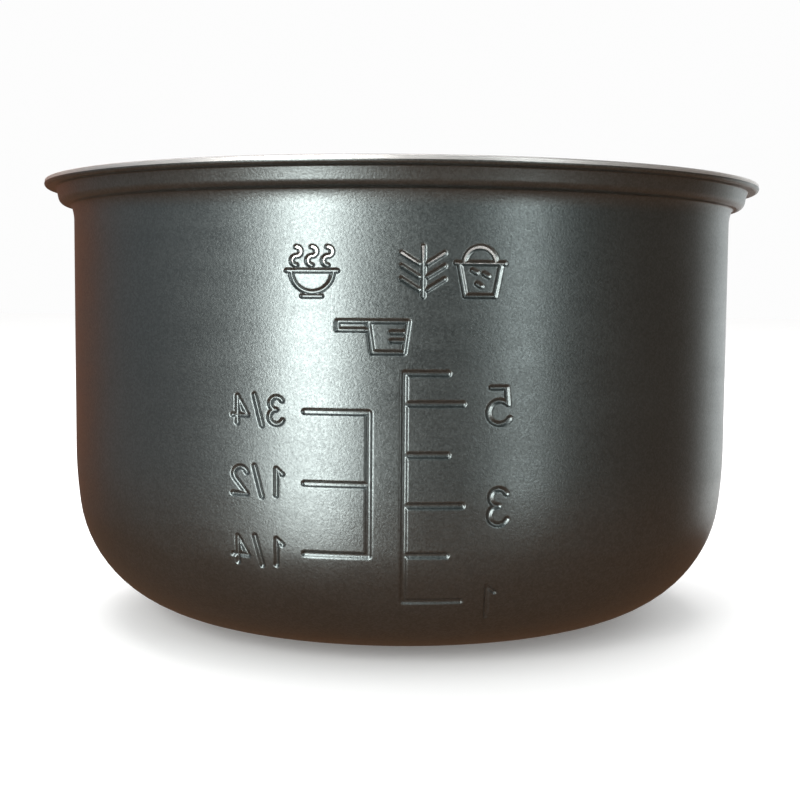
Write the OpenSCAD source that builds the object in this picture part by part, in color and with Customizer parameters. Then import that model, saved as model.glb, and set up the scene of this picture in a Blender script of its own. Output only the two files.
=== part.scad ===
// Inner pot of a rice cooker: one drawn aluminium shell with a stepped brim,
// a metallic coating outside and a non-stick lining inside. Two filling scales
// are stamped into the front wall, sunk outside and raised inside.
// Z points up from the base, and the scales face -Y.

/* [Overall] */
// Overall height, base to brim
height = 129; // [105:0.5:160]
// Outer radius of the straight wall
wall_r = 98.6; // [82:0.1:120]

/* [Sheet] */
// Thickness of the aluminium
metal_t = 2.0; // [1.2:0.1:2.4]
// Thickness of the outer coating
coat_t = 0.15; // [0.1:0.01:0.3]
// Thickness of the non-stick lining
lining_t = 0.15; // [0.1:0.01:0.3]

/* [Bottom] */
// Radius of the shallow crown around the flat base
crown_r = 310; // [200:5:400]
// Angle that the crown turns through, in degrees
crown_angle = 7.4; // [4:0.1:9]
// Radius of the corner between base and side
corner_r = 37; // [25:0.5:45]
// Radius of the easy curve where the side leaves the corner
side_r = 130; // [80:5:200]
// Angle that the side curve turns through, in degrees
side_angle = 7.6; // [4:0.1:12]

/* [Brim] */
// Depth of the step's underside below the top of the brim
step_drop = 7.2; // [6.8:0.1:12]
// Radial width of the step, from the wall to the top of its outer face
step_w = 5.0; // [4.2:0.1:8]
// Angle that the step's outer face leans out, in degrees
step_lean = 12; // [2:1:15]
// Radial width of the lip, from the step's outer face to the brim's edge
lip_w = 3.4; // [2.6:0.1:6]
// Radius inside the step's rounded lower corner
step_inner_r = 0.1; // [0.1:0.1:0.5]
// Angle that the wall flares out through below the step, in degrees
flare_angle = 20; // [8:1:22]
// Radius of the fillet where the flare turns out into the step
neck_r = 0.6; // [0.3:0.1:1.2]
// Radius of the fillet where the step turns out into the lip
notch_r = 0.4; // [0.2:0.1:0.8]
// Radius of the lip's rounded lower edge
lip_round = 1.1; // [0.4:0.1:1.1]
// Height of the bare metal band at the top of the lip's edge
bare_edge_h = 1.2; // [0.5:0.1:1.2]
// Width of the bare metal ring on top of the lip
bare_top_w = 0.8; // [0.3:0.1:1.5]

/* [Stamping] */
// Depth of the stamped marks
mark_depth = 0.5; // [0.2:0.05:0.8]
// Extra width on each side that a ridge inside has over its groove outside
ridge_spread = 0.4; // [0.1:0.05:0.6]
// Width of the scale lines
line_w = 1.4; // [0.8:0.1:2]

/* [Rice scale] */
// Height of the one-cup mark above the base
cup_one_z = 20.5; // [15:0.1:30]
// Rise from one cup mark to the next
cup_rise = 12.4; // [9:0.1:13]
// Number of whole-cup marks
cups = 5; // [3:1:5]
// Height of the full mark above the last whole cup
full_rise = 7.4; // [4:0.1:10]
// Place of the upright line, to the right of the centre
rice_x = 1.1; // [0.5:0.1:5]
// Length of an odd cup's mark
long_mark = 14.2; // [12:0.1:18]
// Length of an even cup's mark
short_mark = 10.5; // [6:0.1:12]

/* [Porridge scale] */
// Height of the quarter mark above the base
quarter_z = 32.7; // [20:0.1:40]
// Rise from one quarter to the next
quarter_rise = 17.6; // [12:0.1:20]
// Place of the upright line, to the left of the centre
porridge_x = 7.5; // [5:0.1:10]
// Length of the marks
porridge_mark = 15.6; // [10:0.1:20]

/* [Hidden] */
$fn = 240;

sheet_t = coat_t + metal_t + lining_t;
step_r = wall_r + step_w;
step_corner_r = sheet_t + step_inner_r;
flare_r = 2.4 * step_w;
rim_r = step_r + lip_w;
step_z = height - step_drop;
lip_z = height - sheet_t;
over = 5;          // how far a cutting form runs past what it cuts
stamp_reach = 30;  // how far back the stamp runs, past the lowest mark
crown_steps = 3;   // straight stretches that each bend of the section is made of
corner_steps = 12;
side_steps = 4;
flare_steps = 2;
brim_steps = 5;
full_z = cup_one_z + (cups - 1) * cup_rise + full_rise;

// ---- Wall ----

// The point of an arc at one angle
function on_arc(centre, r, angle) = centre + r * [cos(angle), sin(angle)];

// Centres of the bottom's three arcs, worked up from the flat base
base_r = wall_r - side_r * (1 - cos(side_angle))
    - corner_r * (cos(side_angle) - sin(crown_angle)) - crown_r * sin(crown_angle);
crown_c = [base_r, crown_r];
corner_c = on_arc(crown_c, crown_r - corner_r, 270 + crown_angle);
side_c = on_arc(corner_c, corner_r - side_r, -side_angle);

// Points along an arc, from one angle to another
function arc(centre, r, from, to, steps) =
    [for (i = [0 : steps]) on_arc(centre, r, from + (to - from) * i / steps)];

// The bottom of the pot's outer face moved inwards by depth, from the middle up
function bottom_outline(depth) = concat(
    [[0, depth]],
    arc(crown_c, crown_r - depth, 270, 270 + crown_angle, crown_steps),
    arc(corner_c, corner_r - depth, 270 + crown_angle, 360 - side_angle, corner_steps),
    arc(side_c, side_r - depth, 360 - side_angle, 360, side_steps)
);

// Centres of the brim's arcs: the flare and its fillet, then the step's lower corner,
// set in by as much as the step's face leans, and the notch above it
neck_turn = 180 - flare_angle;
flare_c = [wall_r + flare_r, step_z - neck_r - (flare_r - neck_r) * sin(flare_angle)];
neck_c = on_arc(flare_c, flare_r - neck_r, neck_turn);
notch_c = [step_r + notch_r * cos(step_lean), lip_z - notch_r];
corner_rise = step_corner_r * (1 - sin(step_lean));
face_rise = lip_z - notch_r * (1 - sin(step_lean)) - step_z - corner_rise;
step_c = [step_r - face_rise * tan(step_lean) - step_corner_r * cos(step_lean),
    step_z + step_corner_r];

// The same for the brim, from the wall out to the lip's underside
function brim_outline(depth) = concat(
    arc(flare_c, flare_r + depth, 180, neck_turn, flare_steps),
    arc(neck_c, neck_r + depth, neck_turn, 90, brim_steps),
    arc(step_c, step_corner_r - depth, 270, 360 - step_lean, brim_steps),
    arc(notch_c, notch_r + depth, 180 - step_lean, 90, brim_steps)
);

// The edge of the lip: rounded below on the outside, square where it is cut inside
function lip_outline(depth, brim_r) = depth < lip_round
    ? arc([rim_r - lip_round, lip_z + lip_round], lip_round - depth, 270, 360, brim_steps)
    : [[brim_r, lip_z + depth]];

// Everything inside the pot's outer face moved in by depth, the lip run out to brim_r
module form(depth, brim_r, top) {
    rotate_extrude()
        polygon(concat(
            bottom_outline(depth),
            brim_outline(depth),
            lip_outline(depth, brim_r),
            [[brim_r, top], [0, top]]
        ));
}

// The same without the brim, which is how far in the stamp reaches
module stamp_floor(depth) {
    rotate_extrude()
        polygon(concat(
            bottom_outline(depth),
            [[wall_r - depth, height], [0, height]]
        ));
}

// ---- Scales, as seen from outside ----

// How much wider on each side a line is at some depth in the sheet, so that each
// layer lies face to face on the next
function spread(depth) = min(depth, coat_t)
    + ridge_spread * max(0, min(1, (depth - coat_t) / metal_t))
    + max(0, depth - coat_t - metal_t);

// The form with the scale lines pressed in to an even depth, by a stamp that comes
// straight from the front
module stamped_form(depth, brim_r, top) {
    w = line_w + 2 * spread(depth);
    difference() {
        form(depth, brim_r, top);
        difference() {
            translate([0, -wall_r - over, 0])
                rotate([-90, 0, 0])
                    mirror([0, 1, 0])
                        linear_extrude(stamp_reach) {
                            rice_lines(w);
                            porridge_lines(w);
                        }
            stamp_floor(depth + mark_depth);
        }
    }
}

// A straight line from one point to another, with round ends
module line(p, q, w) {
    run = q - p;
    translate(p)
        rotate(atan2(run.y, run.x))
            translate([0, -w / 2])
                square([norm(run), w]);
    for (end = [p, q])
        translate(end)
            circle(d = w, $fn = 24);
}

module rice_lines(w) {
    line([rice_x, cup_one_z], [rice_x, full_z], w);
    line([rice_x, full_z], [rice_x + short_mark, full_z], w);
    for (i = [0 : cups - 1]) {
        z = cup_one_z + i * cup_rise;
        line([rice_x, z], [rice_x + (i % 2 == 0 ? long_mark : short_mark), z], w);
    }
}

module porridge_lines(w) {
    line([-porridge_x, quarter_z], [-porridge_x, quarter_z + 2 * quarter_rise], w);
    for (i = [0 : 2]) {
        z = quarter_z + i * quarter_rise;
        line([-porridge_x, z], [-porridge_x - porridge_mark, z], w);
    }
}

// ---- Layers, from the outside in ----

module outer_coating() {
    color("#3d4344")
        difference() {
            stamped_form(0, rim_r, height + over);
            stamped_form(coat_t, rim_r - coat_t, height + 2 * over);
            translate([0, 0, height - bare_edge_h])
                cylinder(r = rim_r + over, h = 3 * over);
        }
}

module aluminium_shell() {
    color("silver")
        difference() {
            stamped_form(coat_t, rim_r - coat_t, height + over);
            stamped_form(coat_t + metal_t, rim_r + over, height + 2 * over);
        }
}

module nonstick_lining() {
    color("#2b2c2e")
        difference() {
            stamped_form(coat_t + metal_t, rim_r - coat_t - bare_top_w, height + over);
            stamped_form(sheet_t, rim_r + over, height + 2 * over);
        }
}

aluminium_shell();
outer_coating();
nonstick_lining();
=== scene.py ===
"""Inner pot of a rice cooker: a drawn aluminium bowl with a stepped brim, a satin
metallic coating outside, a non-stick lining inside and two stamped filling scales."""

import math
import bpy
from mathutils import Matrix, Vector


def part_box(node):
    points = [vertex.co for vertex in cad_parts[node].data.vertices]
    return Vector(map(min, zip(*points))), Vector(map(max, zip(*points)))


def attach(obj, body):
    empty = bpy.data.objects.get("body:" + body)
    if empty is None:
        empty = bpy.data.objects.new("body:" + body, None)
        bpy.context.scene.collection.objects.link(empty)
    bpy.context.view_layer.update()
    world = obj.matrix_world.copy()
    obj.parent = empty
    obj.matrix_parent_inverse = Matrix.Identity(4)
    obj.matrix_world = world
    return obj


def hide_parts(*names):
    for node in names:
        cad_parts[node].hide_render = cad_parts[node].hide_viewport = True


bl_info = {
    "name": "Rice Cooker Inner Pot",
    "version": (1, 0, 0),
    "blender": (4, 5, 0),
    "location": "3D View > Sidebar > Inner Pot",
    "description": "Builds a coated aluminium inner pot with stamped filling scales",
    "category": "Object",
}

import bmesh
import bpy
import numpy as np
from mathutils import Matrix

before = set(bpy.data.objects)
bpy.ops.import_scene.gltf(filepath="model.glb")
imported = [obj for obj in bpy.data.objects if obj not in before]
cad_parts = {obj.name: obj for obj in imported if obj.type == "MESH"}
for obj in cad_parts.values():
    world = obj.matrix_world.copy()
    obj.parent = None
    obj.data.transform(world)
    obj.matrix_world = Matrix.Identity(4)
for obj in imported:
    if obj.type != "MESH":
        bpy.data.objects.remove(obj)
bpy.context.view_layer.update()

MM = 0.001
FULL_TURN = 2 * math.pi
UP = math.pi / 2
DOWN = 1.5 * math.pi
POT_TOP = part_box("nonstick_lining")[1].z
COATED_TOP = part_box("outer_coating")[1].z
BRIM_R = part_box("outer_coating")[1].x

CUPS = 5  # whole-cup marks on the rice scale

# Rows of faces up the wall, and how finely the bottom is divided, on a face that is
# seen and on a hidden one
SEEN_ROWS, HIDDEN_ROWS = 22, 3
FINE, COARSE = 2, 1

# The part of the front wall that holds the marks
MARKED_HALF_WIDTH = 52 * MM
MARKED_FROM, MARKED_TO = 10 * MM, 114 * MM

# How far from the turned face a point may lie and still be taken as on it
COAT_SLACK, LINING_SLACK = 0.25 * MM, 0.07 * MM

# How near a stroke's edge faces are divided, in one round after another
COAT_REACHES = (3.4 * MM, 1.9 * MM, 1.05 * MM, 0.62 * MM)
LINING_REACHES = (3.4 * MM, 2.2 * MM, 1.5 * MM)

SAME_PLACE = 0.01 * MM      # points nearer than this are one
SMOOTH_BELOW = math.radians(50)
FLAKE = 0.5 * MM            # size of the coat's flakes
SPECK = 0.9 * MM            # size of the lining's specks
GRAIN_DEPTH = 0.1 * MM      # height of the finishes' fine bumps
LAMP_CENTRE = 60 * MM       # height that every light is turned towards

# ---- Sizes and colours that a user would change ----

def length(name, description, millimetres, **limits):
    return bpy.props.FloatProperty(
        name=name, description=description, default=millimetres * MM,
        unit="LENGTH", precision=5, **limits)


def angle(name, description, degrees):
    return bpy.props.FloatProperty(
        name=name, description=description, default=math.radians(degrees), subtype="ANGLE")


def colour(name, description, rgb):
    return bpy.props.FloatVectorProperty(
        name=name, description=description, default=rgb, size=3, min=0.0, max=1.0,
        subtype="COLOR")


def factor(name, description, default, highest=1.0):
    return bpy.props.FloatProperty(
        name=name, description=description, default=default, min=0.0, max=highest,
        subtype="FACTOR")


class PotSizes(bpy.types.PropertyGroup):
    """Sizes of the pot's wall, bottom and brim"""
    wall_r: length("Wall radius", "Outer radius of the straight wall", 98.6)
    sheet_t: length("Sheet", "Thickness of the wall with both coatings", 2.3)
    film_t: length("Film", "Thickness of each coating where its edge shows", 0.15)
    coat_depth: length("Coat depth", "Depth of the coat's hidden back, below the stamping",
                       0.7)
    crown_r: length("Crown radius", "Radius of the shallow crown around the base", 310)
    crown_angle: angle("Crown angle", "Angle that the crown turns through", 7.4)
    corner_r: length("Corner radius", "Radius of the corner between base and side", 37)
    side_r: length("Side radius", "Radius of the easy curve above the corner", 130)
    side_angle: angle("Side angle", "Angle that the side curve turns through", 7.6)
    step_drop: length("Step drop", "Depth of the step's underside below the brim", 7.2)
    step_w: length("Step width", "Radial width of the step", 5.0)
    step_lean: angle("Step lean", "Angle that the step's outer face leans out", 12)
    step_corner_r: length("Step corner", "Radius of the step's lower corner", 2.4)
    flare_r: length("Flare radius", "Radius of the wall's flare below the step", 12.0)
    flare_angle: angle("Flare angle", "Angle that the flare turns through", 20)
    neck_r: length("Neck radius", "Radius where the flare turns out into the step", 0.6)
    notch_r: length("Notch radius", "Radius where the step turns out into the lip", 0.4)
    lip_round: length("Lip rounding", "Radius of the lip's coated lower edge", 1.1)
    bare_round: length("Bare rounding", "Radius of the bare metal edge", 0.3)
    bare_top_w: length("Bare top", "Width of the bare ring on top of the lip", 0.8)
    turns: bpy.props.IntProperty(
        name="Turns", description="Steps in one full turn of the wall", default=192, min=48)


class MarkSizes(bpy.types.PropertyGroup):
    """Sizes and places of the stamped marks, with places as seen from outside"""
    depth: length("Depth", "Depth of the stamped marks", 0.5)
    shoulder: length("Shoulder", "Half the width over which a mark's side rolls over", 0.42)
    inside_shoulder: length("Inside shoulder", "The same for a raised mark inside", 0.546)
    spread: length("Spread", "Extra half width of a raised mark inside", 0.55)
    line_w: length("Line width", "Width of the scale lines", 1.25)
    stroke_w: length("Stroke width", "Width of the strokes of digits and signs", 0.92)
    cup_one_z: length("One cup", "Height of the one-cup mark above the base", 20.5)
    cup_rise: length("Cup rise", "Rise from one cup mark to the next", 12.4)
    full_rise: length("Full rise", "Height of the full mark above the last cup", 7.4)
    rice_x: length("Rice scale", "Place of the rice scale's upright line", 1.1)
    long_mark: length("Long mark", "Length of an odd cup's mark", 14.2)
    short_mark: length("Short mark", "Length of an even cup's mark", 10.5)
    digit_x: length("Digit place", "Place of the rice scale's wide digits", 24.3)
    one_x: length("Digit one place", "Place of the rice scale's narrow digit", 21.9)
    digit_drop: length("Digit drop", "How far a digit's middle is below its mark", 0.5)
    digit_h: length("Digit height", "Height of the rice scale's digits", 9.8)
    quarter_z: length("Quarter", "Height of the quarter mark above the base", 32.7)
    quarter_rise: length("Quarter rise", "Rise from one quarter to the next", 17.6)
    porridge_x: length("Porridge scale", "Place of the porridge scale's upright line", -7.5)
    porridge_mark: length("Porridge mark", "Length of the porridge scale's marks", 15.6)
    fraction_x: length("Fraction place", "Place of the porridge scale's fractions", -34.9)
    fraction_h: length("Fraction height", "Height of the fractions", 7.6)
    fraction_pitch: length("Fraction pitch", "Distance between a fraction's signs", 4.6)
    sign_z: length("Sign row", "Height of the row of signs above the base", 102.0)
    sign_h: length("Sign height", "Size of the signs in that row", 12.9)
    bowl_x: length("Bowl place", "Place of the porridge bowl's sign", -21.5)
    ear_x: length("Ear place", "Place of the rice ear's sign", 5.3)
    jar_x: length("Jar place", "Place of the rice jar's sign", 19.1)
    scoop_x: length("Scoop place", "Place of the measuring scoop's sign", -3.0)
    scoop_z: length("Scoop row", "Height of the measuring scoop above the base", 86.2)
    scoop_h: length("Scoop height", "Size of the measuring scoop's sign", 8.4)


class Finishes(bpy.types.PropertyGroup):
    """Colours and gloss of the three finishes"""
    coat: colour("Coat", "Metallic coating outside", (0.194, 0.221, 0.219))
    coat_dark: colour("Coat dark", "Darker flakes of the coating", (0.156, 0.178, 0.177))
    coat_gloss: factor("Coat roughness", "Roughness of the coating", 0.36)
    bare: colour("Bare metal", "Turned aluminium edge", (0.86, 0.845, 0.82))
    bare_gloss: factor("Bare roughness", "Roughness of the turned edge", 0.36)
    lining: colour("Lining", "Non-stick lining", (0.022, 0.022, 0.024))
    lining_speck: colour("Lining specks", "Light specks in the lining", (0.30, 0.30, 0.29))
    lining_gloss: factor("Lining roughness", "Roughness of the lining", 0.38)


class StageLook(bpy.types.PropertyGroup):
    """Floor, backdrop and light"""
    floor: colour("Floor", "Pale floor", (0.975, 0.975, 0.972))
    floor_glow: factor("Floor glow", "Light that the floor gives off by itself", 0.125)
    backdrop: colour("Backdrop", "What the camera sees behind the pot", (0.98, 0.98, 0.98))
    room_left: colour("Room, left", "Cool grey that the wall reflects from the left",
                      (0.20, 0.21, 0.225))
    room_front: colour("Room, front", "Cool grey reflected from the front",
                       (0.040, 0.055, 0.057))
    room_right: colour("Room, right", "Dark warm tone reflected from the right",
                       (0.085, 0.058, 0.042))
    room_back: colour("Room, back", "Warm tone reflected from behind", (0.27, 0.11, 0.065))
    table: colour("Table", "Warm tone reflected from below", (0.165, 0.080, 0.042))
    key: factor("Key light", "Power of the soft box at the front left", 12.5, 500.0)
    low: factor("Low light", "Power of the card below the key light", 1.5, 500.0)
    second: factor("Second light", "Power of the narrow box at the front right", 2.1, 500.0)
    rim: factor("Rim light", "Power of the card at the far right", 2.6, 500.0)
    top: factor("Top light", "Power of the overhead box", 12.0, 500.0)


# ---- Section of the pot ----

def on_arc(centre, r, turn):
    return centre[0] + r * math.cos(turn), centre[1] + r * math.sin(turn)


def arc(centre, r, start, end, steps):
    return [on_arc(centre, r, start + (end - start) * i / steps) for i in range(steps + 1)]


def straight(p, q, steps):
    """Points after p up to q"""
    return [(p[0] + (q[0] - p[0]) * i / steps, p[1] + (q[1] - p[1]) * i / steps)
            for i in range(1, steps + 1)]


class Section:
    """The outer face's section, and the same moved in to any depth in the sheet"""

    def __init__(self, sizes):
        s = self.sizes = sizes
        self.base_r = (s.wall_r - s.side_r * (1 - math.cos(s.side_angle))
                       - s.corner_r * (math.cos(s.side_angle) - math.sin(s.crown_angle))
                       - s.crown_r * math.sin(s.crown_angle))
        self.crown_c = (self.base_r, s.crown_r)
        self.corner_c = on_arc(self.crown_c, s.crown_r - s.corner_r, DOWN + s.crown_angle)
        self.side_c = on_arc(self.corner_c, s.corner_r - s.side_r, -s.side_angle)
        self.step_z = POT_TOP - s.step_drop
        self.lip_z = POT_TOP - s.sheet_t
        self.place_brim_arcs(s.wall_r + s.step_w)

    def place_brim_arcs(self, step_r):
        """Centres of the flare, its fillet, the step's corner and the notch above it"""
        s = self.sizes
        self.neck_turn = math.pi - s.flare_angle
        self.flare_c = (s.wall_r + s.flare_r,
                        self.step_z - s.neck_r
                        - (s.flare_r - s.neck_r) * math.sin(s.flare_angle))
        self.neck_c = on_arc(self.flare_c, s.flare_r - s.neck_r, self.neck_turn)
        lean = s.step_lean
        self.notch_c = (step_r + s.notch_r * math.cos(lean), self.lip_z - s.notch_r)
        face_rise = (self.lip_z - s.notch_r * (1 - math.sin(lean)) - self.step_z
                     - s.step_corner_r * (1 - math.sin(lean)))
        self.step_c = (step_r - face_rise * math.tan(lean)
                       - s.step_corner_r * math.cos(lean), self.step_z + s.step_corner_r)

    def bottom(self, depth, fineness):
        """From the middle of the base to the top of the side's curve"""
        s = self.sizes
        side = FULL_TURN - s.side_angle
        return ([(0.0, depth), (self.base_r / 2, depth)]
                + arc(self.crown_c, s.crown_r - depth, DOWN, DOWN + s.crown_angle,
                      5 * fineness)
                + arc(self.corner_c, s.corner_r - depth, DOWN + s.crown_angle, side,
                      8 * fineness)[1:]
                + arc(self.side_c, s.side_r - depth, side, FULL_TURN, 3 * fineness)[1:])

    def wall(self, depth, rows):
        """The straight wall above that, up to the neck"""
        s = self.sizes
        return straight((s.wall_r - depth, self.side_c[1]),
                        (s.wall_r - depth, self.flare_c[1]), rows)

    def brim(self, depth):
        """From the flare out to the underside of the lip"""
        s = self.sizes
        return (arc(self.flare_c, s.flare_r + depth, math.pi, self.neck_turn, 5)
                + arc(self.neck_c, s.neck_r + depth, self.neck_turn, UP, 5)[1:]
                + arc(self.step_c, s.step_corner_r - depth, -UP, -s.step_lean, 8)
                + arc(self.notch_c, s.notch_r + depth, math.pi - s.step_lean, UP, 5))

    def lip_edge(self, depth, steps):
        """The lip's rounded lower edge"""
        s = self.sizes
        return arc((BRIM_R - s.lip_round, self.lip_z + s.lip_round), s.lip_round - depth,
                   -UP, 0.0, steps)

    def radius(self, z, depth):
        """Radius of the face at some depth, at heights z above the crown"""
        s = self.sizes
        dz_side = np.clip(z - self.side_c[1], -s.side_r + depth, 0.0)
        dz_corner = np.clip(z - self.corner_c[1], -s.corner_r + depth, 0.0)
        side = self.side_c[0] + np.sqrt((s.side_r - depth) ** 2 - dz_side ** 2)
        corner = self.corner_c[0] + np.sqrt((s.corner_r - depth) ** 2 - dz_corner ** 2)
        joint = self.corner_c[1] - (s.corner_r - depth) * math.sin(s.side_angle)
        return np.where(z > joint, side, corner)


def hidden_face(section):
    """Where the coat meets the metal"""
    s = section.sizes
    return (section.bottom(s.coat_depth, COARSE)
            + section.wall(s.coat_depth, HIDDEN_ROWS)[:-1]
            + section.brim(s.film_t) + section.lip_edge(s.film_t, 5))


def coat_section(section):
    s = section.sizes
    face = (section.bottom(0.0, FINE) + section.wall(0.0, SEEN_ROWS)
            + section.brim(0.0)[1:] + section.lip_edge(0.0, 7))
    if COATED_TOP - face[-1][1] > SAME_PLACE:
        face.append((BRIM_R, COATED_TOP))
    back = hidden_face(section)
    if COATED_TOP - back[-1][1] > SAME_PLACE:
        back.append((BRIM_R - s.film_t, COATED_TOP))
    return face + back[::-1]


def shell_section(section):
    s = section.sizes
    rim, metal_top = BRIM_R - s.film_t, POT_TOP - s.film_t
    face = (hidden_face(section)
            + arc((rim - s.bare_round, metal_top - s.bare_round), s.bare_round, 0.0, UP, 5)
            + [(rim - s.bare_top_w, metal_top)])
    inside = s.sheet_t - s.film_t
    back = (section.bottom(inside, COARSE) + section.wall(inside, HIDDEN_ROWS)[:-1]
            + section.brim(inside))
    return face + back[::-1]


def lining_section(section):
    s = section.sizes
    rim, thin = BRIM_R - s.film_t - s.bare_top_w, s.film_t
    under = s.sheet_t - thin
    face = (section.bottom(s.sheet_t, FINE) + section.wall(s.sheet_t, SEEN_ROWS)
            + section.brim(s.sheet_t)[1:]
            + arc((rim - thin, POT_TOP - thin), thin, UP, 0.0, 3))
    back = (section.bottom(under, COARSE) + section.wall(under, HIDDEN_ROWS)[:-1]
            + section.brim(under))
    return back + face[::-1]


# ---- Marks ----
# Digits and signs are drawn as read from inside the pot, and turned over for the outside.

class Drawing:
    """Strokes: lines (x, z, x, z, width) and bows (x, z, radius, start, end, width)"""

    def __init__(self):
        self.lines = []
        self.bows = []

    def line(self, points, width):
        for p, q in zip(points, points[1:]):
            self.lines.append((p[0], p[1], q[0], q[1], width))

    def bow(self, centre, r, start, end, width):
        self.bows.append((centre[0], centre[1], r, math.radians(start),
                          math.radians(end), width))

    def place(self, other, x, z):
        """Adds another drawing, turned over left to right, centred at x and z"""
        for x0, z0, x1, z1, width in other.lines:
            self.lines.append((x - x0, z + z0, x - x1, z + z1, width))
        for cx, cz, r, start, end, width in other.bows:
            self.bows.append((x - cx, z + cz, r, math.pi - end, math.pi - start, width))


def draw_digit(digit, h, w, shift=0.0):
    drawing = Drawing()
    mid = (h - w) / 2

    def line(*points):
        drawing.line([(shift + x, z) for x, z in points], w)

    def bow(cx, cz, r, start, end):
        drawing.bow((shift + cx, cz), r, start, end, w)

    if digit == "1":
        line((-0.20 * h, mid - 0.18 * h), (0, mid), (0, -mid))
    elif digit == "2":
        r = 0.23 * h
        bow(0, mid - r, r, -35, 165)
        line((r * math.cos(math.radians(35)), mid - r - r * math.sin(math.radians(35))),
             (-r, -mid), (1.1 * r, -mid))
    elif digit == "3":
        upper = 0.47 * mid
        lower = mid - upper
        bow(0, mid - upper, upper, -90, 155)
        bow(0, lower - mid, lower, -155, 90)
    elif digit == "4":
        line((0.10 * h, -mid), (0.10 * h, mid), (-0.25 * h, -0.18 * h),
             (0.26 * h, -0.18 * h))
    elif digit == "5":
        r = 0.29 * h
        diagonal = r * math.cos(math.radians(45))
        bow(0, r - mid, r, -150, 135)
        line((-diagonal, r - mid + diagonal), (-0.17 * h, mid), (0.22 * h, mid))
    elif digit == "/":
        line((-0.13 * h, -0.5 * h), (0.13 * h, 0.5 * h))
    return drawing


def draw_fraction(text, h, w, pitch):
    whole = Drawing()
    for i, sign in enumerate(text):
        part = draw_digit(sign, h, w, (i - 1) * pitch)
        whole.lines += part.lines
        whole.bows += part.bows
    return whole


def draw_porridge(h, w):
    """A bowl with three curls of steam"""
    drawing = Drawing()
    bowl, curl = 0.40 * h, 0.085 * h
    drawing.line([(-1.2 * bowl, 0), (1.2 * bowl, 0)], w)
    drawing.bow((0, 0), bowl, 180, 360, w)
    drawing.line([(-0.45 * bowl, -1.18 * bowl), (0.45 * bowl, -1.18 * bowl)], w)
    for x in (-0.3 * h, 0.0, 0.3 * h):
        drawing.bow((x, 2.2 * curl), curl, -90, 90, w)
        drawing.bow((x, 4.2 * curl), curl, 90, 270, w)
    return drawing


def draw_rice_jar(h, w):
    """A jar with a domed lid and three grains in it"""
    drawing = Drawing()
    foot, rim = -0.45 * h, 0.16 * h
    drawing.line([(-0.40 * h, rim), (-0.28 * h, foot), (0.28 * h, foot),
                  (0.40 * h, rim)], w)
    drawing.line([(-0.46 * h, rim), (0.46 * h, rim)], w)
    drawing.bow((0.0, rim), 0.30 * h, 0, 180, w)
    for x, z in ((-0.15, -0.08), (0.07, -0.02), (-0.02, -0.27)):
        drawing.line([(x * h, z * h), ((x + 0.08) * h, (z + 0.05) * h)], w)
    return drawing


def draw_rice_ear(h, w):
    """An ear of rice: a stem with grains in pairs"""
    drawing = Drawing()
    drawing.line([(0.0, -0.46 * h), (0.0, 0.46 * h)], w)
    for z in (-0.34, -0.10, 0.14):
        for side in (-1, 1):
            drawing.line([(side * 0.08 * h, z * h), (side * 0.40 * h, (z + 0.20) * h)], w)
    return drawing


def draw_scoop(h, w):
    """A measuring scoop with its handle"""
    drawing = Drawing()
    top, cup = (h - w) / 2, 0.5 * h
    drawing.line([(-1.15 * cup, top), (-0.9 * cup, -top), (0.9 * cup, -top),
                  (1.15 * cup, top), (-1.15 * cup, top)], w)
    drawing.line([(1.15 * cup, top), (2.9 * cup, top), (2.9 * cup, 0.45 * top),
                  (1.08 * cup, 0.45 * top)], w)
    for z in (-0.25 * top, 0.3 * top):
        drawing.line([(-0.9 * cup, z), (-0.2 * cup, z)], w)
    return drawing


def draw_marks(m):
    """Both scales with their digits and signs, as seen from outside"""
    marks = Drawing()
    full_z = m.cup_one_z + (CUPS - 1) * m.cup_rise + m.full_rise
    marks.line([(m.rice_x, m.cup_one_z), (m.rice_x, full_z),
                (m.rice_x + m.short_mark, full_z)], m.line_w)
    for i in range(CUPS):
        z = m.cup_one_z + i * m.cup_rise
        numbered = i % 2 == 0
        reach = m.long_mark if numbered else m.short_mark
        marks.line([(m.rice_x, z), (m.rice_x + reach, z)], m.line_w)
        if numbered:
            marks.place(draw_digit(str(i + 1), m.digit_h, m.stroke_w),
                        m.digit_x if i else m.one_x, z - m.digit_drop)
    marks.line([(m.porridge_x, m.quarter_z),
                (m.porridge_x, m.quarter_z + 2 * m.quarter_rise)], m.line_w)
    for i, text in enumerate(("1/4", "1/2", "3/4")):
        z = m.quarter_z + i * m.quarter_rise
        marks.line([(m.porridge_x, z), (m.porridge_x - m.porridge_mark, z)], m.line_w)
        marks.place(draw_fraction(text, m.fraction_h, m.stroke_w, m.fraction_pitch),
                    m.fraction_x, z)
    marks.place(draw_porridge(m.sign_h, m.stroke_w), m.bowl_x, m.sign_z)
    marks.place(draw_rice_ear(m.sign_h, m.stroke_w), m.ear_x, m.sign_z)
    marks.place(draw_rice_jar(m.sign_h, m.stroke_w), m.jar_x, m.sign_z)
    marks.place(draw_scoop(m.scoop_h, m.stroke_w), m.scoop_x, m.scoop_z)
    return marks


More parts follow.
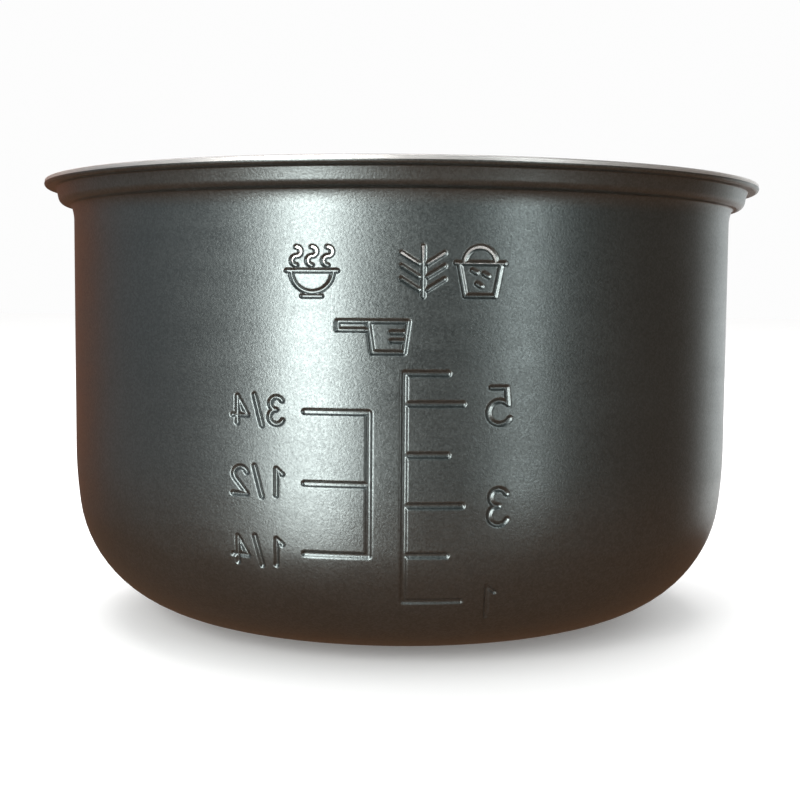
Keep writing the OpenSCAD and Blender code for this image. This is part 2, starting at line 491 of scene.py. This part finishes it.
def edge_distance(marks, x, z):
    """Distance of each point from the nearest stroke's edge, negative inside it"""
    nearest = np.full(len(x), 1.0)
    for x0, z0, x1, z1, width in marks.lines:
        dx, dz = x1 - x0, z1 - z0
        along = np.clip(((x - x0) * dx + (z - z0) * dz) / (dx * dx + dz * dz), 0.0, 1.0)
        gap = np.hypot(x - x0 - along * dx, z - z0 - along * dz) - width / 2
        np.minimum(nearest, gap, out=nearest)
    for cx, cz, r, start, end, width in marks.bows:
        turn = np.mod(np.arctan2(z - cz, x - cx) - start, FULL_TURN)
        on_bow = np.abs(np.hypot(x - cx, z - cz) - r)
        ends = [np.hypot(x - px, z - pz) for px, pz in
                (on_arc((cx, cz), r, start), on_arc((cx, cz), r, end))]
        gap = np.where(turn <= end - start, on_bow, np.minimum(*ends)) - width / 2
        np.minimum(nearest, gap, out=nearest)
    return nearest


# ---- Modelling ----

def deselect_all():
    if bpy.context.object and bpy.context.object.mode != "OBJECT":
        bpy.ops.object.mode_set(mode="OBJECT")
    bpy.ops.object.select_all(action="DESELECT")


def select_only(piece):
    deselect_all()
    piece.select_set(True)
    bpy.context.view_layer.objects.active = piece


def turn_profile(name, points, turns):
    """Extrudes one point along the section and spins that into a closed shell"""
    deselect_all()
    bpy.ops.mesh.primitive_plane_add(size=MM)
    piece = bpy.context.object
    piece.name = piece.data.name = name
    bpy.ops.object.mode_set(mode="EDIT")
    bpy.ops.mesh.select_mode(type="VERT")
    bpy.ops.mesh.select_all(action="SELECT")
    bpy.ops.mesh.merge(type="CENTER")
    bpy.ops.transform.translate(value=(points[0][0], 0.0, points[0][1]))
    for p, q in zip(points, points[1:]):
        bpy.ops.mesh.extrude_region_move(
            TRANSFORM_OT_translate={"value": (q[0] - p[0], 0.0, q[1] - p[1])})
    bpy.ops.mesh.select_all(action="SELECT")
    bpy.ops.mesh.spin(steps=turns, angle=FULL_TURN, center=(0, 0, 0), axis=(0, 0, 1))
    bpy.ops.mesh.select_all(action="SELECT")
    bpy.ops.mesh.remove_doubles(threshold=SAME_PLACE)
    bpy.ops.mesh.select_all(action="SELECT")
    bpy.ops.mesh.normals_make_consistent(inside=False)
    bpy.ops.object.mode_set(mode="OBJECT")
    return piece


def on_face(co, section, depth, slack):
    """Which points lie on the marked part of the turned face at this depth"""
    x, y, z = co.T
    marked = ((y < 0) & (np.abs(x) < MARKED_HALF_WIDTH)
              & (z > MARKED_FROM) & (z < MARKED_TO))
    return marked & (np.abs(np.hypot(x, y) - section.radius(z, depth)) < slack)


def refine_near_marks(piece, section, depth, marks, reaches, slack):
    """Divides the faces near the strokes again and again, each time closer to them, and
    settles the new points on the turned face"""
    bpy.context.view_layer.objects.active = piece
    bpy.ops.object.mode_set(mode="EDIT")
    bpy.ops.mesh.select_mode(type="FACE")
    for reach in reaches:
        bpy.ops.mesh.select_all(action="DESELECT")
        mesh = bmesh.from_edit_mesh(piece.data)
        middles = np.array([f.calc_center_median() for f in mesh.faces])
        # a face's middle lies a little inside the round wall
        near = on_face(middles, section, depth, slack)
        close = np.zeros(len(near), bool)
        close[near] = edge_distance(marks, middles[near, 0], middles[near, 2]) < reach
        for f, chosen in zip(mesh.faces, close):
            if chosen:
                f.select_set(True)
        bmesh.update_edit_mesh(piece.data)
        bpy.ops.mesh.subdivide(number_cuts=1, ngon=False)
        mesh = bmesh.from_edit_mesh(piece.data)
        points = np.array([v.co for v in mesh.verts])
        faced = on_face(points, section, depth, slack)
        r = np.hypot(points[:, 0], points[:, 1])
        wanted = section.radius(points[:, 2], depth)
        for v, here, now, true in zip(mesh.verts, faced, r, wanted):
            if here:
                v.co.x *= true / now
                v.co.y *= true / now
        bmesh.update_edit_mesh(piece.data)
    bpy.ops.object.mode_set(mode="OBJECT")


def stamp(piece, section, depth, marks, widen, shoulder, push, slack):
    """Presses the strokes into the face with a rolled shoulder on each side"""
    group = piece.vertex_groups.new(name="stamped")
    points = np.array([v.co for v in piece.data.vertices])
    chosen = np.flatnonzero(on_face(points, section, depth, slack))
    gap = edge_distance(marks, points[chosen, 0], points[chosen, 2]) - widen
    rise = np.clip(gap / (2 * shoulder) + 0.5, 0.0, 1.0)
    weights = 0.5 + 0.5 * np.cos(math.pi * rise)
    for i, weight in zip(chosen, weights):
        if weight > 0:
            group.add([int(i)], float(weight), "REPLACE")
    select_only(piece)
    press = piece.modifiers.new("press", "DISPLACE")
    press.direction = "NORMAL"
    press.vertex_group = group.name
    press.mid_level = 0.0
    press.strength = push
    bpy.ops.object.modifier_apply(modifier=press.name)


def finish_piece(piece, material, node):
    select_only(piece)
    bpy.ops.object.shade_smooth_by_angle(angle=SMOOTH_BELOW)
    piece.data.materials.append(material)
    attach(piece, "root")
    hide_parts(node)


# ---- Materials ----

def new_group(name, inputs, outputs):
    group = bpy.data.node_groups.new(name, "ShaderNodeTree")
    for socket, kind, value in inputs:
        made = group.interface.new_socket(socket, in_out="INPUT", socket_type=kind)
        if value is not None:
            made.default_value = value
    for socket, kind in outputs:
        group.interface.new_socket(socket, in_out="OUTPUT", socket_type=kind)
    return group


def add(tree, kind, **values):
    node = tree.nodes.new(kind)
    for key, value in values.items():
        if hasattr(node, key):
            setattr(node, key, value)
        else:
            node.inputs[key.replace("_", " ")].default_value = value
    return node


def feed(tree, sockets, values):
    """Sets each socket to a plain value, or links it to another node's output"""
    for socket, value in zip(sockets, values):
        if isinstance(value, (int, float, tuple)):
            socket.default_value = value
        else:
            tree.links.new(value, socket)


def maths(tree, operation, *values):
    node = add(tree, "ShaderNodeMath", operation=operation)
    feed(tree, node.inputs, values)
    return node.outputs[0]


def remap(tree, value, low, high, to_low=0.0, to_high=1.0):
    node = add(tree, "ShaderNodeMapRange", clamp=True)
    node.inputs["From Min"].default_value = low
    node.inputs["From Max"].default_value = high
    node.inputs["To Min"].default_value = to_low
    node.inputs["To Max"].default_value = to_high
    tree.links.new(value, node.inputs["Value"])
    return node.outputs["Result"]


def mix(tree, amount, first, second):
    node = add(tree, "ShaderNodeMix", data_type="RGBA")
    feed(tree, [s for s in node.inputs if s.enabled], (amount, first, second))
    return [s for s in node.outputs if s.enabled][0]


def add_bump(tree, shader, height, strength):
    bump = add(tree, "ShaderNodeBump", Strength=strength, Distance=GRAIN_DEPTH)
    tree.links.new(height, bump.inputs["Height"])
    tree.links.new(bump.outputs[0], shader.inputs["Normal"])


def flake_group():
    """Metallic flakes: a value that changes from flake to flake, and their height"""
    group = bpy.data.node_groups.get("Flakes")
    if group:
        return group
    tree = new_group("Flakes",
                     [("Vector", "NodeSocketVector", None),
                      ("Size", "NodeSocketFloat", FLAKE)],
                     [("Flake", "NodeSocketFloat"), ("Height", "NodeSocketFloat")])
    given = add(tree, "NodeGroupInput")
    scale = maths(tree, "DIVIDE", 1.0, given.outputs["Size"])
    cells = add(tree, "ShaderNodeTexVoronoi", feature="F1")
    tree.links.new(given.outputs["Vector"], cells.inputs["Vector"])
    tree.links.new(scale, cells.inputs["Scale"])
    split = add(tree, "ShaderNodeSeparateColor")
    tree.links.new(cells.outputs["Color"], split.inputs["Color"])
    # the height changes a little more slowly than the flakes do
    grain = add(tree, "ShaderNodeTexNoise", Detail=1.0, Roughness=0.6)
    tree.links.new(given.outputs["Vector"], grain.inputs["Vector"])
    tree.links.new(maths(tree, "MULTIPLY", scale, 0.85), grain.inputs["Scale"])
    out = add(tree, "NodeGroupOutput")
    tree.links.new(split.outputs[0], out.inputs["Flake"])
    tree.links.new(grain.outputs[0], out.inputs["Height"])
    return tree


def handling_group():
    """Faint smudges and settled grime: broad, soft and uneven"""
    group = bpy.data.node_groups.get("Handling")
    if group:
        return group
    tree = new_group("Handling",
                     [("Vector", "NodeSocketVector", None),
                      ("Scale", "NodeSocketFloat", 30.0)],
                     [("Smudge", "NodeSocketFloat"), ("Streak", "NodeSocketFloat")])
    given = add(tree, "NodeGroupInput")
    broad = add(tree, "ShaderNodeTexNoise", Detail=4.0, Roughness=0.55, Distortion=0.4)
    tree.links.new(given.outputs["Vector"], broad.inputs["Vector"])
    tree.links.new(given.outputs["Scale"], broad.inputs["Scale"])
    # streaks run round the pot, as a cloth leaves them
    stretch = add(tree, "ShaderNodeMapping")
    stretch.inputs["Scale"].default_value = (0.5, 0.5, 6.0)
    tree.links.new(given.outputs["Vector"], stretch.inputs["Vector"])
    fine = add(tree, "ShaderNodeTexNoise", Detail=3.0, Roughness=0.6)
    tree.links.new(stretch.outputs[0], fine.inputs["Vector"])
    tree.links.new(given.outputs["Scale"], fine.inputs["Scale"])
    out = add(tree, "NodeGroupOutput")
    tree.links.new(broad.outputs[0], out.inputs["Smudge"])
    tree.links.new(fine.outputs[0], out.inputs["Streak"])
    return tree


def place_group(tree, group, vector, **values):
    node = tree.nodes.new("ShaderNodeGroup")
    node.node_tree = group
    tree.links.new(vector, node.inputs["Vector"])
    for key, value in values.items():
        node.inputs[key].default_value = value
    return node


def new_material(name):
    material = bpy.data.materials.new(name)
    material.use_nodes = True
    tree = material.node_tree
    tree.nodes.clear()
    shader = add(tree, "ShaderNodeBsdfPrincipled")
    out = add(tree, "ShaderNodeOutputMaterial")
    tree.links.new(shader.outputs[0], out.inputs["Surface"])
    place = add(tree, "ShaderNodeTexCoord")
    return material, tree, shader, place.outputs["Object"]


def rgba(c, brightness=1.0):
    return c[0] * brightness, c[1] * brightness, c[2] * brightness, 1.0


def coat_material(f):
    material, tree, shader, place = new_material("satin_metallic_coat")
    flakes = place_group(tree, flake_group(), place, Size=FLAKE)
    handling = place_group(tree, handling_group(), place, Scale=28.0)
    light = remap(tree, flakes.outputs["Flake"], 0.15, 0.95)
    base = mix(tree, light, rgba(f.coat_dark), rgba(f.coat))
    tree.links.new(base, shader.inputs["Base Color"])
    rough = maths(tree, "ADD",
                  remap(tree, handling.outputs["Smudge"], 0.35, 0.7,
                        f.coat_gloss - 0.025, f.coat_gloss + 0.03),
                  remap(tree, handling.outputs["Streak"], 0.4, 0.65, -0.012, 0.012))
    rough = maths(tree, "ADD", rough,
                  remap(tree, flakes.outputs["Height"], 0.3, 0.7, -0.04, 0.04))
    tree.links.new(rough, shader.inputs["Roughness"])
    shader.inputs["Metallic"].default_value = 0.97
    add_bump(tree, shader, flakes.outputs["Height"], 0.35)
    return material


def bare_material(f):
    material, tree, shader, place = new_material("turned_aluminium")
    handling = place_group(tree, handling_group(), place, Scale=40.0)
    # lathe lines depend only on the distance from the axis and the height
    split = add(tree, "ShaderNodeSeparateXYZ")
    tree.links.new(place, split.inputs[0])
    squares = maths(tree, "ADD", maths(tree, "POWER", split.outputs["X"], 2.0),
                    maths(tree, "POWER", split.outputs["Y"], 2.0))
    ring = add(tree, "ShaderNodeCombineXYZ")
    tree.links.new(maths(tree, "SQRT", squares), ring.inputs["X"])
    tree.links.new(split.outputs["Z"], ring.inputs["Z"])
    lines = add(tree, "ShaderNodeTexNoise", Scale=9000.0, Detail=3.0, Roughness=0.7)
    tree.links.new(ring.outputs[0], lines.inputs["Vector"])
    base = mix(tree, remap(tree, lines.outputs[0], 0.3, 0.7), rgba(f.bare, 0.72),
               rgba(f.bare))
    tree.links.new(base, shader.inputs["Base Color"])
    rough = maths(tree, "ADD",
                  remap(tree, handling.outputs["Smudge"], 0.3, 0.7,
                        f.bare_gloss - 0.04, f.bare_gloss + 0.08),
                  remap(tree, lines.outputs[0], 0.3, 0.7, 0.05, -0.05))
    tree.links.new(rough, shader.inputs["Roughness"])
    shader.inputs["Metallic"].default_value = 0.86
    add_bump(tree, shader, lines.outputs[0], 0.25)
    return material


def lining_material(f):
    material, tree, shader, place = new_material("nonstick_lining_finish")
    flakes = place_group(tree, flake_group(), place, Size=SPECK)
    handling = place_group(tree, handling_group(), place, Scale=24.0)
    specks = remap(tree, flakes.outputs["Flake"], 0.93, 0.97)
    worn = mix(tree, remap(tree, handling.outputs["Streak"], 0.4, 0.7),
               rgba(f.lining), rgba(f.lining, 1.35))
    base = mix(tree, maths(tree, "MULTIPLY", specks, 0.42), worn, rgba(f.lining_speck))
    tree.links.new(base, shader.inputs["Base Color"])
    rough = maths(tree, "ADD",
                  remap(tree, handling.outputs["Smudge"], 0.3, 0.7,
                        f.lining_gloss - 0.05, f.lining_gloss + 0.08),
                  remap(tree, flakes.outputs["Height"], 0.3, 0.7, -0.03, 0.03))
    tree.links.new(rough, shader.inputs["Roughness"])
    shader.inputs["Specular IOR Level"].default_value = 0.55
    add_bump(tree, shader, flakes.outputs["Height"], 0.2)
    return material


def floor_material(look):
    material, tree, shader, place = new_material("pale_floor")
    grain = add(tree, "ShaderNodeTexNoise", Scale=3.0, Detail=2.0)
    tree.links.new(place, grain.inputs["Vector"])
    base = mix(tree, remap(tree, grain.outputs[0], 0.3, 0.7), rgba(look.floor, 0.985),
               rgba(look.floor))
    tree.links.new(base, shader.inputs["Base Color"])
    shader.inputs["Roughness"].default_value = 0.9
    shader.inputs["Specular IOR Level"].default_value = 0.0
    # a faint glow, so that the floor meets the backdrop without a dark band
    shader.inputs["Emission Color"].default_value = (1.0, 1.0, 1.0, 1.0)
    shader.inputs["Emission Strength"].default_value = look.floor_glow
    return material


# ---- Operators ----

class PotOperator:
    """What every step of the pot shares"""
    bl_options = {"REGISTER", "UNDO"}


class OBJECT_OT_outer_coat(PotOperator, bpy.types.Operator):
    """Build the metallic outer coat with the marks sunk into it"""
    bl_idname = "object.pot_outer_coat"
    bl_label = "Outer Coat"

    def execute(self, context):
        scene = context.scene
        s, m = scene.pot_sizes, scene.pot_marks
        section = Section(s)
        marks = draw_marks(m)
        coat = turn_profile("outer_coat", coat_section(section), s.turns)
        refine_near_marks(coat, section, 0.0, marks, COAT_REACHES, COAT_SLACK)
        stamp(coat, section, 0.0, marks, 0.0, m.shoulder, -m.depth, COAT_SLACK)
        finish_piece(coat, coat_material(scene.pot_finishes),
                     "outer_coating")
        return {"FINISHED"}


class OBJECT_OT_shell(PotOperator, bpy.types.Operator):
    """Build the aluminium shell with its bare turned edge"""
    bl_idname = "object.pot_shell"
    bl_label = "Aluminium Shell"

    def execute(self, context):
        scene = context.scene
        section = Section(scene.pot_sizes)
        shell = turn_profile("aluminium_bowl", shell_section(section),
                             scene.pot_sizes.turns)
        finish_piece(shell, bare_material(scene.pot_finishes),
                     "aluminium_shell")
        return {"FINISHED"}


class OBJECT_OT_lining(PotOperator, bpy.types.Operator):
    """Build the non-stick lining with the marks raised on it"""
    bl_idname = "object.pot_lining"
    bl_label = "Non-stick Lining"

    def execute(self, context):
        scene = context.scene
        s, m = scene.pot_sizes, scene.pot_marks
        section = Section(s)
        marks = draw_marks(m)
        lining = turn_profile("lining", lining_section(section), s.turns)
        refine_near_marks(lining, section, s.sheet_t, marks, LINING_REACHES, LINING_SLACK)
        stamp(lining, section, s.sheet_t, marks, m.spread, m.inside_shoulder, m.depth,
              LINING_SLACK)
        finish_piece(lining, lining_material(scene.pot_finishes),
                     "nonstick_lining")
        return {"FINISHED"}


class OBJECT_OT_stage(PotOperator, bpy.types.Operator):
    """Set up the floor, the backdrop and the soft studio light"""
    bl_idname = "object.pot_stage"
    bl_label = "Stage"

    def execute(self, context):
        scene = context.scene
        look = scene.pot_look
        self.add_floor(look)
        self.add_world(scene, look)
        # azimuth and elevation of each box, its distance, width and height, and its power
        for name, azimuth, elevation, away, width, height, power, tint in (
                ("key_box", -28, 12, 1.2, 0.42, 1.1, look.key, (1.0, 1.0, 0.985)),
                ("low_card", -28, -17, 1.2, 0.42, 0.25, look.low, (1.0, 1.0, 0.985)),
                ("second_box", 38, 10, 1.2, 0.14, 1.0, look.second, (0.96, 1.0, 1.0)),
                ("rim_card", 142, 8, 1.2, 0.8, 1.0, look.rim, (0.97, 1.0, 1.0)),
                ("top_box", 200, 68, 1.3, 1.2, 1.2, look.top, (1.0, 1.0, 1.0))):
            self.add_light(name, azimuth, elevation, away, width, height, power, tint)
        scene.view_settings.view_transform = "Standard"
        return {"FINISHED"}

    def add_floor(self, look):
        deselect_all()
        bpy.ops.mesh.primitive_plane_add(size=12.0, location=(0, 0, -0.02 * MM))
        floor = bpy.context.object
        floor.name = "floor"
        bpy.ops.object.transform_apply(location=True)
        floor.data.materials.append(floor_material(look))
        floor.visible_glossy = False
        floor.visible_shadow = False

    def add_world(self, scene, look):
        world = bpy.data.worlds.new("studio")
        world.use_nodes = True
        scene.world = world
        tree = world.node_tree
        tree.nodes.clear()
        place = add(tree, "ShaderNodeTexCoord")
        split = add(tree, "ShaderNodeSeparateXYZ")
        tree.links.new(place.outputs["Generated"], split.inputs[0])
        turn = maths(tree, "ARCTAN2", split.outputs["X"],
                     maths(tree, "MULTIPLY", split.outputs["Y"], -1.0))
        walls = add(tree, "ShaderNodeValToRGB")
        tree.links.new(remap(tree, turn, -math.pi, math.pi), walls.inputs[0])
        tones = ((-180, look.room_back), (-135, look.room_back), (-105, look.room_left),
                 (-45, look.room_left), (0, look.room_front), (52, look.room_front),
                 (78, look.room_right), (125, look.room_right), (150, look.room_left),
                 (180, look.room_back))
        ramp = walls.color_ramp
        ramp.interpolation = "EASE"
        while len(ramp.elements) < len(tones):
            ramp.elements.new(0.5)
        for stop, (azimuth, tone) in zip(ramp.elements, tones):
            stop.position = 0.5 + azimuth / 360
            stop.color = rgba(tone)
        # below the horizon the room gives way to the table
        seen = mix(tree, remap(tree, split.outputs["Z"], -0.30, -0.06),
                   rgba(look.table), walls.outputs[0])
        room = add(tree, "ShaderNodeBackground")
        tree.links.new(seen, room.inputs["Color"])
        backdrop = add(tree, "ShaderNodeBackground")
        backdrop.inputs["Color"].default_value = rgba(look.backdrop)
        # the camera and the matt floor see a plain pale backdrop
        path = add(tree, "ShaderNodeLightPath")
        plain = maths(tree, "MAXIMUM", path.outputs["Is Camera Ray"],
                      path.outputs["Is Diffuse Ray"])
        choose = add(tree, "ShaderNodeMixShader")
        tree.links.new(plain, choose.inputs[0])
        tree.links.new(room.outputs[0], choose.inputs[1])
        tree.links.new(backdrop.outputs[0], choose.inputs[2])
        out = add(tree, "ShaderNodeOutputWorld")
        tree.links.new(choose.outputs[0], out.inputs["Surface"])

    def add_light(self, name, azimuth, elevation, away, width, height, power, tint):
        """Adds a soft box that faces the pot"""
        turn, rise = math.radians(azimuth), math.radians(elevation)
        light = bpy.data.lights.new(name, "AREA")
        light.shape = "RECTANGLE"
        light.size, light.size_y = width, height
        light.energy = power
        light.color = tint
        lamp = bpy.data.objects.new(name, light)
        bpy.context.collection.objects.link(lamp)
        lamp.matrix_world = (Matrix.Rotation(turn, 4, "Z")
                             @ Matrix.Rotation(UP - rise, 4, "X")
                             @ Matrix.Translation((0, 0, away)))
        lamp.location.z += LAMP_CENTRE
        lamp.visible_camera = False


class OBJECT_OT_camera(PotOperator, bpy.types.Operator):
    """Place the camera in front of the scales, a little below the brim"""
    bl_idname = "object.pot_camera"
    bl_label = "Camera"

    def execute(self, context):
        camera = bpy.data.cameras.new("camera")
        camera.lens = 61.8
        camera.sensor_width = 36.0
        camera.clip_start = 10 * MM
        viewer = bpy.data.objects.new("camera", camera)
        context.collection.objects.link(viewer)
        pitch, roll = math.radians(-4.37), 0.00802
        back, height = 428.18 * MM, 96.31 * MM
        viewer.matrix_world = (Matrix.Translation((0.0, -back, height))
                               @ Matrix.Rotation(UP + pitch, 4, "X")
                               @ Matrix.Rotation(roll, 4, "Z"))
        context.scene.camera = viewer
        return {"FINISHED"}


class VIEW3D_PT_inner_pot(bpy.types.Panel):
    """Sizes, finishes and steps of the inner pot"""
    bl_idname = "VIEW3D_PT_inner_pot"
    bl_label = "Inner Pot"
    bl_space_type = "VIEW_3D"
    bl_region_type = "UI"
    bl_category = "Inner Pot"

    def draw(self, context):
        layout = self.layout
        for operator in OPERATORS:
            layout.operator(operator.bl_idname)
        for group in (context.scene.pot_sizes, context.scene.pot_marks,
                      context.scene.pot_finishes, context.scene.pot_look):
            box = layout.box()
            for key in group.__annotations__:
                box.prop(group, key)


OPERATORS = (OBJECT_OT_camera, OBJECT_OT_outer_coat, OBJECT_OT_shell, OBJECT_OT_lining,
             OBJECT_OT_stage)
GROUPS = (("pot_sizes", PotSizes), ("pot_marks", MarkSizes), ("pot_finishes", Finishes),
          ("pot_look", StageLook))


def register():
    for key, group in GROUPS:
        bpy.utils.register_class(group)
        setattr(bpy.types.Scene, key, bpy.props.PointerProperty(type=group))
    for part in OPERATORS + (VIEW3D_PT_inner_pot,):
        bpy.utils.register_class(part)


def unregister():
    for part in reversed(OPERATORS + (VIEW3D_PT_inner_pot,)):
        bpy.utils.unregister_class(part)
    for key, group in reversed(GROUPS):
        delattr(bpy.types.Scene, key)
        bpy.utils.unregister_class(group)


def main():
    register()
    bpy.ops.object.pot_camera()
    bpy.ops.object.pot_outer_coat()
    bpy.ops.object.pot_shell()
    bpy.ops.object.pot_lining()
    bpy.ops.object.pot_stage()


if __name__ == "__main__":
    main()
